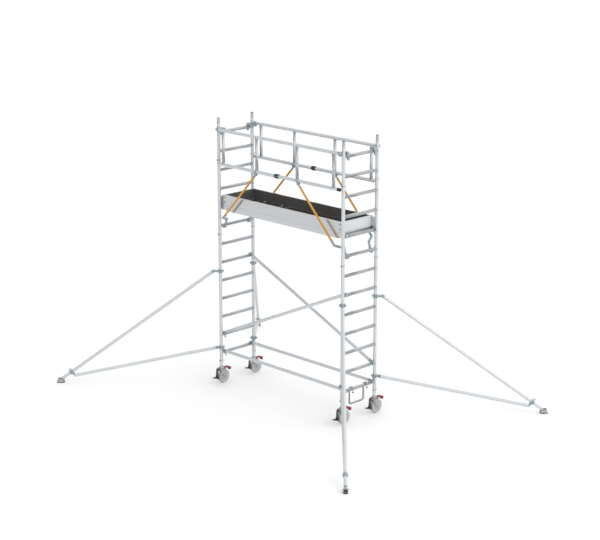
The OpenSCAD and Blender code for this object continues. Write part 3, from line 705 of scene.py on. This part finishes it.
def tread_bands():
    """Raised bands moulded on the tread."""
    made = Shape()
    centre = Vector((PX, PY + WHEEL_TRAIL, WHEEL_R))
    for dx in (-0.015, -0.005, 0.005, 0.015):
        made.turned(centre + (dx - 0.0035) * X, X, band(0.0985, 0.00165, 0.007), 96)
    return made


def pedal_trim():
    """Rubber pad with cross ribs on the brake pedal."""
    made = Shape()
    back, front = Vector((0, PY - 0.158, 0.1098)), Vector((0, PY - 0.118, 0.1043))
    for i in range(5):
        p = back.lerp(front, i / 4)
        made.swept([Vector((PX - 0.025, p.y, p.z)), Vector((PX + 0.025, p.y, p.z))], 0.0021, 8)
    made.bar((PX - 0.0285, PY - 0.168, 0.1030), (PX + 0.0285, PY - 0.160, 0.1115))
    return made


def shoe_trim():
    """Ribbed brake shoe face and its retaining rivets."""
    made = Shape()
    for z in (0.0755, 0.0795, 0.0835, 0.0875, 0.0915):
        y = PY - 0.0675 - 0.003 * max(0.0, (z - 0.084) / 0.011)
        made.swept([Vector((PX - 0.016, y - 0.0006, z)), Vector((PX + 0.016, y - 0.0006, z))], 0.0013, 6)
    for way in (-1, 1):
        made.rivet((PX + way * 0.018, PY - 0.092, 0.118), (way, 0, 0), 0.0055)
    return made


def lever_trim():
    """Grip ribs of the red release lever."""
    made = Shape()
    start, end = Vector((0, PY + 0.146, 0.2290)), Vector((0, PY + 0.172, 0.2128))
    for i in range(4):
        p = start.lerp(end, i / 3)
        made.swept([Vector((PX - 0.022, p.y, p.z)), Vector((PX + 0.022, p.y, p.z))], 0.0019, 8)
    return made


def castor_pins():
    """Pivot heads of the release lever and the brake pedal, on the fork."""
    made = Shape()
    for way in (-1, 1):
        made.rivet((PX + way * 0.0246, PY + 0.075, 0.227), (way, 0, 0), 0.0055)
        made.rivet((PX + way * 0.012, PY - 0.093, 0.19), (way, 0, 0), 0.004)
    return made


def claw_trim(rung, direction):
    """Rivets, cheek ribs and latch of one brace claw; direction runs from the rung into the brace."""
    metal, latch = Shape(), Shape()
    d = Vector(direction).normalized()
    rung = Vector(rung)
    neck = rung + Vector((0, 0, 0.017))
    inward = 1 if d.x > 0 else -1
    for way in (-1, 1):
        metal.swept(arc(rung + Y * way * 0.021, X, Z, 0.0325, -12, 204, 12), 0.0022, 8)
        for along in (0.072, 0.100):
            metal.rivet(neck + along * d + Y * way * RIVET_SEAT, Y * way, 0.0052)
    start = neck + 0.052 * d
    metal.turned(start, d, [(0, 0.0236), (0.0008, 0.0252), (0.0045, 0.0252), (0.0055, 0.0236)], 28)
    hinge = rung + Vector((inward * 0.0305, 0, -0.010))
    tail = hinge + Vector((inward * 0.010, 0, -0.036))
    outline = [
        hinge + Vector((-0.006, 0, 0.008)),
        hinge + Vector((0.007, 0, 0.006)),
        tail + Vector((0.006, 0, 0.012)),
        tail + Vector((0.002, 0, -0.004)),
        tail + Vector((-0.006, 0, 0.0)),
    ]
    latch.prism([p - Y * 0.009 for p in outline], Y * 0.018)
    metal.helix(hinge + Y * 0.0125, Vector((inward * 0.004, 0, -0.026)), 0.0045, 6, 0.0009, 6)
    metal.turned(hinge - Y * 0.019, Y, band(0.0035, 0.0011, 0.038), 12)
    return metal, latch


DIAG_LOW, DIAG_HIGH = rung_z(2), rung_z(6)
DIAG = Vector((2 * PX, 0, DIAG_HIGH - DIAG_LOW)).normalized()
BRACE_ENDS = []
for way in (-1, 1):
    for end in (-1, 1):
        BRACE_ENDS.append(((end * PX, way * BRACE_Y, rung_z(1)), (-end, 0, 0)))
for way in (-1, 1):
    low_x = way * PX
    BRACE_ENDS.append(((low_x, way * BRACE_Y, DIAG_LOW), (-way * DIAG.x, 0, DIAG.z)))
    BRACE_ENDS.append(((-low_x, way * BRACE_Y, DIAG_HIGH), (way * DIAG.x, 0, -DIAG.z)))


def corner_coupler_trim():
    """Bolts, ribs and spring on one guard rail coupler."""
    made = Shape()
    top = rung_z(13)
    for y in (PY - 0.02, PY + 0.012):
        made.bolt((PX - UPRIGHT_R - 0.003, y, top + 0.030), X, 0.0065, 0.006)
    made.turned((PX - 0.026, RAIL_Y, RAIL_Z), X, band(0.0238, 0.0014, 0.007), 28)
    for way in (-1, 1):
        made.rivet((PX - 0.085, RAIL_Y + way * RIVET_SEAT, RAIL_Z), Y * way, 0.0052)
        face = Vector((PX, HOOK_Y + way * 0.022, top))
        made.swept(arc(face, X, Z, 0.033, 10, 150, 10), 0.0024, 8)
    made.bolt((PX + 0.0364, HOOK_Y, top - 0.012), X, 0.006, 0.006)
    made.helix((PX + 0.029, HOOK_Y - 0.014, top - 0.020), (-0.002, 0, -0.030), 0.0045, 6, 0.0009, 6)
    return made


def corner_toggle():
    """Turning catch that closes a guard rail coupler under its rung."""
    pivot = Vector((PX + 0.022, HOOK_Y - 0.008, rung_z(13)))
    outline = [(0, -0.032), (0.014, -0.030), (0.014, -0.058), (-0.020, -0.050), (-0.024, -0.040)]
    return Shape().prism([pivot + x * X + z * Z for x, z in outline], (0, 0.016, 0))


def strut_trim():
    """Rivets, end band and eye washers of one strut, and the ribs, bolt and spring of its claw."""
    made = Shape()
    for along in (YELLOW_FROM + 0.018, YELLOW_TO - 0.018):
        for way in (-1, 1):
            made.rivet(STRUT_TOP + along * STRUT_DIR + Y * way * 0.0147, Y * way, 0.0045)
    made.turned(STRUT_TOP + (YELLOW_TO + 0.004) * STRUT_DIR, STRUT_DIR, band(0.0177, 0.0015, 0.007), 24)
    for way in (-1, 1):
        made.turned(STRUT_TOP + Y * way * 0.0088, Y * way, [(0, 0.011), (0.001, 0.011), (0.0014, 0.0102)], 20)
    rung = Vector((PX, PY - 0.088, rung_z(8)))
    for way in (-1, 1):
        made.swept(arc(rung + Y * way * 0.021, X, Z, 0.035, 146, 144, 10), 0.0022, 8)
    made.bolt(rung + Vector((-0.0425, 0, -0.006)), -X, 0.006, 0.006)
    made.helix(rung + Vector((-0.030, 0.012, -0.034)), (-0.006, 0, -0.028), 0.0045, 6, 0.0009, 6)
    return made


def bracket_trim():
    """Pin heads on a strut clevis, and weld beads round the rail at both ends of its saddle."""
    made = Shape()
    for way in (-1, 1):
        made.rivet(STRUT_TOP + Y * way * 0.0218, Y * way, 0.0085)
        edge = Vector((STRUT_X + way * 0.0245, RAIL_Y, MID_Z))
        made.swept(arc(edge, Y, Z, 0.0262, 192, 156, 12), 0.0018, 6)
    return made


def post_clamp_trim(z):
    """Ears, through bolts and rolled edges of one stabiliser clamp."""
    made = Shape()
    centre = Vector((PX, PY, z))
    for way in (-1, 1):
        ear = centre + ACROSS * way * 0.0335
        hole = ear + ACROSS * way * 0.009
        made.bar_between(ear - OUTWARD * 0.013, ear + OUTWARD * 0.013, ACROSS * way * 0.012, Z * 0.032)
        made.swept([hole - OUTWARD * 0.022, hole + OUTWARD * 0.022], 0.0042, 12)
        for side in (-1, 1):
            made.bolt(hole + OUTWARD * side * 0.013, OUTWARD * side, 0.0062, 0.007)
    for dz in (-0.0235, 0.0235):
        ring = arc(centre + Z * dz, X, Y, 0.0343, 0, 360, 32)
        made.swept(ring[:-1], 0.0016, 6, closed=True)
    return made


def stabiliser_trim():
    """Clamps, rivets and end collars of one stabiliser."""
    made = Shape()
    for z in (CLAMP_Z, LOW_CLAMP_Z):
        made.join(post_clamp_trim(z))
    for start, direction in ((ELBOW, ARM_DIR), (LOW_ELBOW, STAY_DIR)):
        for along in (0.040, 0.054):
            for way in (-1, 1):
                made.rivet(start + along * direction + ACROSS * way * RIVET_SEAT, ACROSS * way, 0.005)
        made.turned(start + 0.0165 * direction, direction, band(0.0225, 0.0029, 0.0073, 0.0008), 28)
    clamp_edge = [(0, 0.0328), (0.0006, 0.0334), (0.0022, 0.0334), (0.003, 0.0312)]
    for way in (-1, 1):
        made.turned(GRIP + ARM_DIR * way * 0.0235, ARM_DIR * way, clamp_edge, 36)
        made.bolt(GRIP + ACROSS * way * 0.0325, ACROSS * way, 0.0075, 0.009)
        made.rivet(ARM_END - 0.030 * ARM_DIR + ACROSS * way * RIVET_SEAT, ACROSS * way, 0.005)
    up = ARM_DIR.cross(ACROSS).normalized()
    up = up if up.z > 0 else -up
    wing = ARM_DIR * 0.026
    made.swept([GRIP + up * 0.028, GRIP + up * 0.052], 0.0055, 12)
    made.swept([GRIP + up * 0.050 - wing, GRIP + up * 0.056, GRIP + up * 0.050 + wing], 0.0048, 10)
    return made


def foot_trim():
    """Folded lips and bolt washers on one stabiliser foot."""
    made = Shape()
    centre = Vector((PX, PY, 0)) + FOOT_REACH * OUTWARD
    washer = [(0, 0.0145), (0.0008, 0.0145), (0.001, 0.014)]
    trough = [(-0.0535, 0.0150), (-0.0380, 0.0615), (0.0380, 0.0615), (0.0535, 0.0150)]
    for way in (-1, 1):
        lip = [centre + OUTWARD * x + ACROSS * way * 0.0284 + Z * z for x, z in trough]
        made.swept(lip, 0.0022, 8)
        made.turned(centre + ACROSS * way * 0.0299 + Z * FOOT_PIN_Z, ACROSS * way, washer, 24)
    return made


def step_trim():
    """Hook bolts and weld beads of the hung step."""
    made = Shape()
    for way in (-1, 1):
        hook = Vector((PX, way * STEP_Y, FIRST_RUNG))
        for side in (-1, 1):
            made.swept(arc(hook + Y * side * 0.014, X, Z, 0.0305, -8, 176, 10), 0.0022, 8)
        made.bolt(hook + Z * 0.0362, Z, 0.0055, 0.006)
    return made


def step_knobs():
    """Grip ribs round the two screw knobs of the step."""
    made = Shape()
    for way in (-1, 1):
        knob = Vector((PX + 0.0309, way * STEP_Y, 0.438))
        for i in range(10):
            a = 2 * math.pi * i / 10
            spoke = Vector((math.cos(a), math.sin(a), 0))
            rim = knob + spoke * 0.0096
            made.swept([rim + Z * 0.0055, knob + spoke * 0.0116, rim - Z * 0.0055], 0.0014, 6)
    return made


def deck_rivets():
    """Countersunk rivets along the edges of the deck boards."""
    made = Shape()
    for y in (-262 * MM, 262 * MM):
        for i in range(19):
            made.rivet((-1.11 + 2.22 * i / 18, y, DECK_Z - 0.0006), Z, 0.0046)
    for x in (-1128 * MM, 1128 * MM, HATCH_X - 0.315, HATCH_X + 0.315, 0.15, 0.65):
        for i in range(5):
            made.rivet((x, -0.20 + 0.10 * i, DECK_Z - 0.0006), Z, 0.0046)
    return made


def hatch_frame():
    """Aluminium edging round the hatch opening."""
    made = Shape()
    x0, x1 = HATCH_X - HATCH_L / 2 - 0.002, HATCH_X + HATCH_L / 2 + 0.002
    y0, y1 = -HATCH_W / 2 - 0.002, HATCH_W / 2 + 0.002
    low, high, width = DECK_Z - 0.001, DECK_Z + 0.0016, 0.024
    made.bar((x0 - width, y0 - width, low), (x0, y1 + width, high))
    made.bar((x1, y0 - width, low), (x1 + width, y1 + width, high))
    made.bar((x0, y0 - width, low), (x1, y0, high))
    return made


def lid_trim():
    """Edging and corner rivets of the hatch lid; the front strip stays clear of the sliding knob."""
    made = Shape()
    x0, x1 = HATCH_X - HATCH_L / 2 + 0.004, HATCH_X + HATCH_L / 2 - 0.004
    y0, y1 = -HATCH_W / 2 + 0.004, HATCH_W / 2 - 0.010
    low, high, width = DECK_Z - 0.001, DECK_Z + 0.0014, 0.022
    made.bar((x0, y0, low), (x0 + width, y1, high))
    made.bar((x1 - width, y0, low), (x1, y1, high))
    made.bar((x0 + width, y0, low), (x1 - width, y0 + 0.008, high))
    for x in (x0 + width / 2, x1 - width / 2):
        for i in range(5):
            made.rivet((x, y0 + 0.03 + (y1 - y0 - 0.06) * i / 4, DECK_Z + 0.001), Z, 0.0042)
    for x in (HATCH_X - 0.18, HATCH_X + 0.18):
        for y in (0.20, 0.218):
            made.rivet((x, y, DECK_Z + 0.0038), Z, 0.004)
    return made


def latch_trim():
    """Knurled knob on the hatch bolt."""
    made = Shape()
    centre = Vector((HATCH_X, -HATCH_W / 2 + 47 * MM, DECK_Z + 0.0066))
    for i in range(12):
        a = 2 * math.pi * i / 12
        spoke = Vector((math.cos(a), math.sin(a), 0)) * 0.0088
        made.swept([centre + spoke, centre + spoke - Z * 0.0045], 0.0011, 6)
    made.turned(centre, Z, [(0, 0.0075), (0.0008, 0.007), (0.0012, 0.004)], 20)
    return made


TOE_LIPS = ((TOE_Z - 0.0035, 0.0036), (TOE_Z - 0.075, 0.0012), (DECK_Z + 0.004, 0.0022))


def long_toe_lips():
    """Extruded lips and a shallow rib on the outer faces of the long toe boards."""
    made = Shape()
    end = END_X - 0.002
    for way in (-1, 1):
        for z, r in TOE_LIPS:
            y = way * (SIDE_Y - r * 0.55)
            made.swept([(-end, y, z), (end, y, z)], r)
    return made


def end_toe_lips():
    """The same lips and rib on the end toe boards, between the long ones."""
    made = Shape()
    end = SIDE_Y - 0.024
    for way in (-1, 1):
        for z, r in TOE_LIPS:
            x = way * (END_X - r * 0.55)
            made.swept([(x, -end, z), (x, end, z)], r)
    return made


def toe_clips():
    """Corner clips with bolts on one end of a toe board, and the bolts of the end casting below."""
    made = Shape()
    clips = ((DECK_Z + 0.030, DECK_Z + 0.062), (TOE_Z - 0.050, TOE_Z - 0.022))
    for low, high in clips:
        made.bar((END_X - 0.055, SIDE_Y - 0.0005, low), (END_X + 0.004, SIDE_Y + 0.0016, high))
        made.bolt((END_X - 0.030, SIDE_Y + 0.0012, (low + high) / 2), Y, 0.005, 0.0045)
    for z in (DECK_Z - 0.030, DECK_Z - 0.058):
        made.bolt((SIDE_X - 0.025, SIDE_Y - 0.0002, z), Y, 0.0055, 0.0045)
    return made


def platform_welds():
    """Weld beads at the cross members and end rails under the deck."""
    made = Shape()
    z = DECK_Z - 0.050
    for x in (HATCH_X - 0.32, HATCH_X + 0.32, 0.15, 0.65):
        for way in (-1, 1):
            y = way * (SIDE_Y - 0.0365)
            for edge in (-0.0185, 0.0185):
                made.swept([(x + edge, y, z - 0.0005), (x + edge, y, z + 0.036)], 0.0022, 6)
    for sx, sy in CORNERS.values():
        x, y = sx * (SIDE_X + 0.003), sy * 0.2705
        made.swept([(x, y, DECK_Z - 0.070), (x, y, DECK_Z - 0.004)], 0.0022, 6)
    return made


def collar_screws():
    """Clamp screws on the black mid rail collars."""
    made = Shape()
    for way in (-1, 1):
        for dx in (-0.022, 0.022):
            x = dx - way * COLLAR_X
            made.bolt((x, way * (RAIL_Y + 0.0316), MID_Z), Y * way, 0.0045, 0.0045)
            made.bolt((x, way * RAIL_Y, MID_Z - 0.0316), -Z, 0.0045, 0.0045)
    return made


in_all_corners(frame_welds).piece("frame_welds", TUBE, "tower")
in_all_corners(rail_welds).piece("guard_rail_welds", TUBE, "tower")
in_all_corners(spigot_rivets).piece("spigot_rivet_heads", BOLT, "tower")
in_all_corners(upright_collars).piece("upright_beads", TUBE, "tower")
in_all_corners(stem_trim).piece("castor_head_trim", ZINC, "tower")
in_all_corners(corner_coupler_trim).piece("guard_rail_coupler_trim", BOLT, "tower")
in_all_corners(corner_toggle).piece("guard_rail_toggles", CASTING, "tower", 0.0012)
in_all_corners(bracket_trim).piece("strut_bracket_trim", BOLT, "tower")
deck_rivets().piece("deck_rivets", BOLT, "tower")
hatch_frame().piece("hatch_edging", PROFILE, "tower", 0.0005)
long_toe_lips().piece("toe_board_lips", PROFILE, "tower")
end_toe_lips().piece("toe_board_end_lips", PROFILE_LIT, "tower")
in_all_corners(toe_clips).piece("toe_board_clips", ZINC, "tower", 0.0004)
platform_welds().piece("platform_welds", PROFILE, "tower")
collar_screws().piece("collar_screws", BOLT, "tower")
step_trim().piece("step_trim", BOLT, "tower")
step_knobs().piece("step_knob_ribs", BLACK, "tower")
lid_trim().piece("hatch_lid_edging", PROFILE, "hatch", 0.0004)
latch_trim().piece("hatch_knob_ribs", ZINC, "latch")

claw_metal, claw_latches = Shape(), Shape()
for rung, direction in BRACE_ENDS:
    metal, latch = claw_trim(rung, direction)
    claw_metal.join(metal)
    claw_latches.join(latch)
claw_metal.piece("brace_claw_trim", BOLT, "tower")
claw_latches.piece("brace_claw_latches", CASTING, "tower", 0.001)


def castor_piece(build, corner):
    """Castors all face the same way, so they are shifted to their corner, not mirrored."""
    sx, sy = CORNERS[corner]
    made = build()
    bmesh.ops.translate(made.mesh, vec=((sx - 1) * PX, (sy - 1) * PY, 0), verts=made.mesh.verts)
    return made


for corner, (sx, sy) in CORNERS.items():
    castor_piece(fork_trim, corner).piece(f"castor_fork_trim_{corner}", ZINC, f"castor_{corner}")
    castor_piece(castor_pins, corner).piece(f"castor_pins_{corner}", BOLT, f"castor_{corner}")
    castor_piece(wheel_trim, corner).piece(f"wheel_ribs_{corner}", WHEEL_GREY, f"wheel_{corner}", 0.0005)
    castor_piece(tread_bands, corner).piece(f"tread_bands_{corner}", TREAD, f"wheel_{corner}")
    castor_piece(pedal_trim, corner).piece(f"pedal_pad_{corner}", BLACK, f"pedal_{corner}", 0.0006)
    castor_piece(shoe_trim, corner).piece(f"brake_shoe_trim_{corner}", DARK_STEEL, f"pedal_{corner}")
    castor_piece(lever_trim, corner).piece(f"lever_ribs_{corner}", RED, f"lever_{corner}")
    strut_trim().mirrored(sx, sy).piece(f"strut_trim_{corner}", BOLT, f"strut_{corner}")
    stabiliser_trim().mirrored(sx, sy).piece(f"stabiliser_trim_{corner}", CASTING, f"stabiliser_{corner}")
    foot_trim().mirrored(sx, sy).piece(f"foot_trim_{corner}", BOLT, f"foot_{corner}")


# ---- stage: floor, light, camera ----


def studio_world():
    """White surroundings, a little darker towards the viewer's left."""
    world = bpy.data.worlds.new("studio")
    world.use_nodes = True
    nodes, links = world.node_tree.nodes, world.node_tree.links
    coords = nodes.new("ShaderNodeTexCoord")
    towards_right = nodes.new("ShaderNodeVectorMath")
    towards_right.operation = "DOT_PRODUCT"
    towards_right.inputs[1].default_value = (0.707, 0.707, 0.15)
    strength = nodes.new("ShaderNodeMapRange")
    strength.inputs["From Min"].default_value = -1.0
    strength.inputs["From Max"].default_value = 1.0
    strength.inputs["To Min"].default_value = 0.72
    strength.inputs["To Max"].default_value = 1.38
    background = nodes["Background"]
    background.inputs["Color"].default_value = (1, 1, 1, 1)
    links.new(coords.outputs["Generated"], towards_right.inputs[0])
    links.new(towards_right.outputs["Value"], strength.inputs["Value"])
    links.new(strength.outputs["Result"], background.inputs["Strength"])
    return world


def add_stage():
    bpy.ops.mesh.primitive_plane_add(size=120, location=(0, 0, -0.0005))
    floor = bpy.context.active_object
    floor.name = "studio_floor"
    floor.data.materials.append(FLOOR)
    bpy.context.scene.world = studio_world()


def add_area_light(name, place, target, size, energy):
    data = bpy.data.lights.new(name, "AREA")
    data.shape = "DISK"
    data.size = size
    data.energy = energy
    lamp = bpy.data.objects.new(name, data)
    bpy.context.scene.collection.objects.link(lamp)
    lamp.location = place
    lamp.rotation_euler = (Vector(target) - Vector(place)).to_track_quat("-Z", "Y").to_euler()


def add_camera():
    data = bpy.data.cameras.new("camera")
    data.lens = 100.2
    data.sensor_width = 36
    data.clip_end = 200
    camera = bpy.data.objects.new("camera", data)
    bpy.context.scene.collection.objects.link(camera)
    camera.location = (16.558, -16.319, 8.362)
    camera.rotation_euler = (math.radians(90 - 15.43), 0, math.radians(45.27))
    bpy.context.scene.camera = camera


add_stage()
add_area_light("key_light", (15, 1, 10), (0, 0, 1.8), 7, 300)
add_area_light("fill_light", (4, -15, 12), (0, 0, 1.8), 7, 120)
add_camera()
bpy.context.scene.view_settings.view_transform = "Standard"
